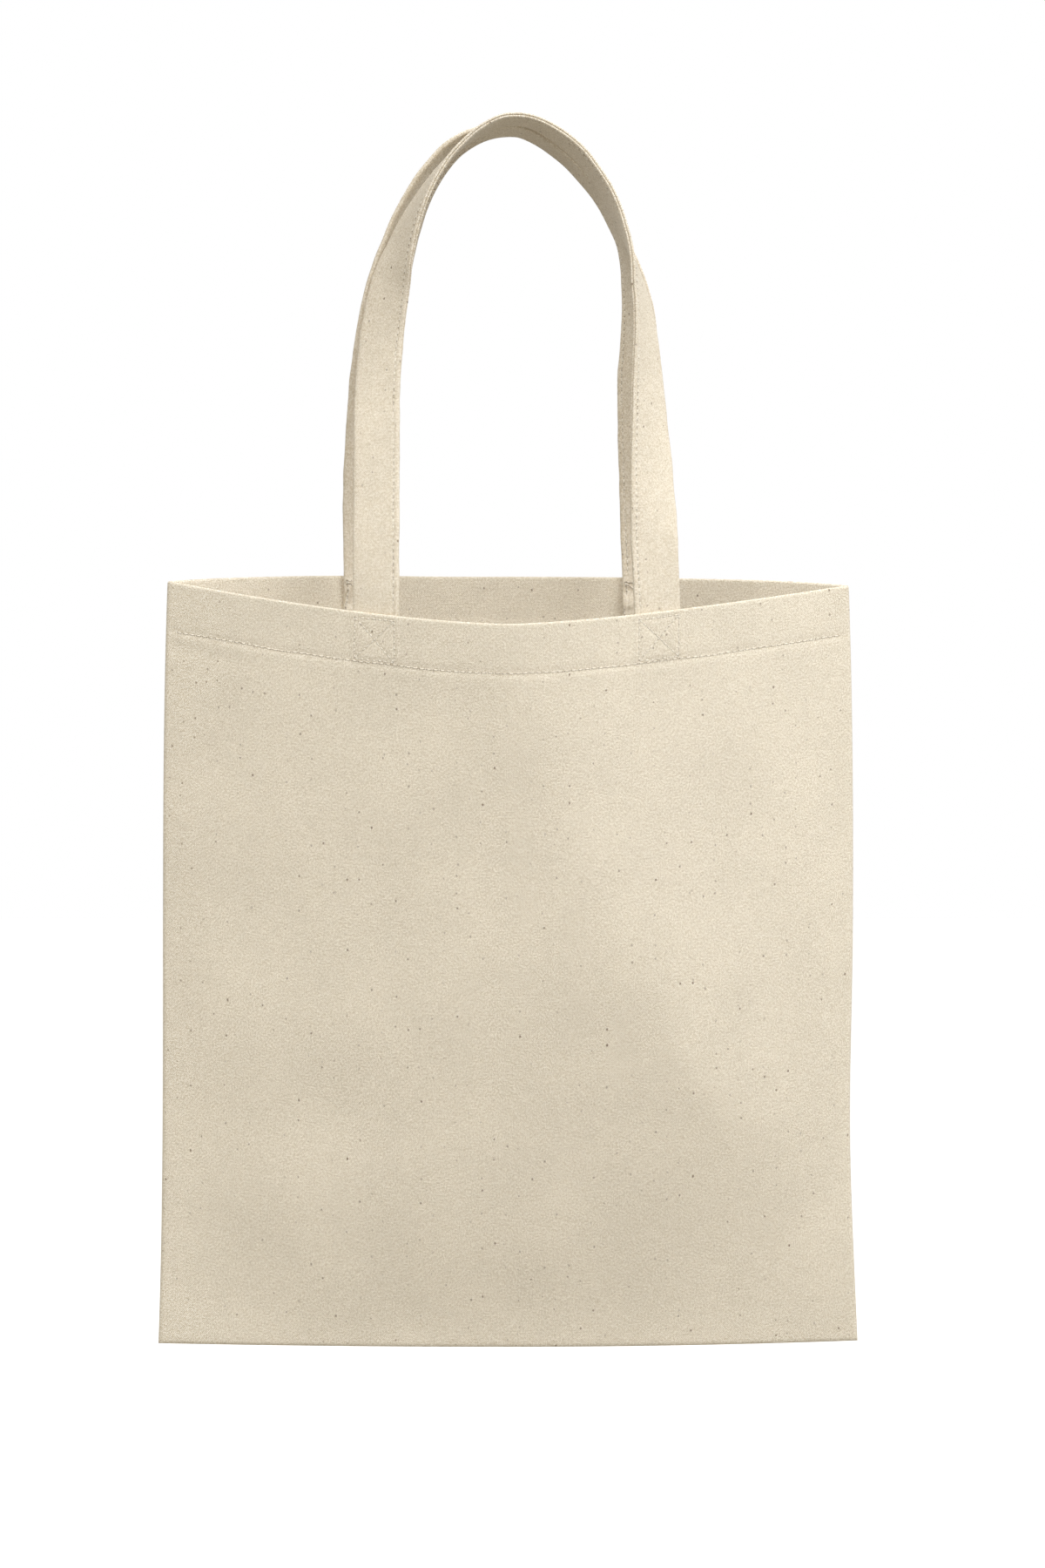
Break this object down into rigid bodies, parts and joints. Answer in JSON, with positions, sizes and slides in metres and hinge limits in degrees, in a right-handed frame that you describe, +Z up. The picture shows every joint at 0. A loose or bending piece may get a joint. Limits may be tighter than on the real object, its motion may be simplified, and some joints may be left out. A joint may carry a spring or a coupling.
{
  "type": "canvas tote bag",
  "caption": "Open-topped rectangular bag of plain natural cotton canvas, hanging by two long flat cloth handles that twist over side by side at the top.",
  "frame": {"origin": "the place on a peg or hook that carries the handles: under their highest point, midway between the front and the back handle", "axes": "+Z up, +X to the right along the mouth, -Y out of the front panel"},
  "size_m": [0.381, 0.0774, 0.6674],
  "materials": {
    "canvas": "matte",
    "handle_canvas": "matte",
    "thread": "matte"
  },
  "bodies": {
    "bag": {"front_panel": "canvas", "back_panel": "canvas", "front_hem": "canvas", "back_hem": "canvas", "left_seam_allowance": "canvas", "right_seam_allowance": "canvas", "bottom_seam_allowance": "canvas", "front_left_handle_end": "handle_canvas", "front_right_handle_end": "handle_canvas", "back_left_handle_end": "handle_canvas", "back_right_handle_end": "handle_canvas", "front_hem_stitching": "thread", "back_hem_stitching": "thread", "front_left_tack_stitching": "thread", "front_right_tack_stitching": "thread", "back_left_tack_stitching": "thread", "back_right_tack_stitching": "thread", "left_overlock_thread": "thread", "right_overlock_thread": "thread", "bottom_overlock_thread": "thread"},
    "front_handle": {"front_handle": "handle_canvas", "front_handle_stitching": "thread"},
    "back_handle": {"back_handle": "handle_canvas", "back_handle_stitching": "thread"}
  },
  "joints": [
    {"name": "front_handle_fold", "type": "hinge", "parent": "bag", "child": "front_handle", "pos_m": [0.0047, -0.0352, -0.2652], "axis": [1, 0, 0], "range_deg": [0, 178]},
    {"name": "back_handle_fold", "type": "hinge", "parent": "bag", "child": "back_handle", "pos_m": [-0.0017, 0.0346, -0.2432], "axis": [-1, 0, 0], "range_deg": [0, 178]}
  ]
}
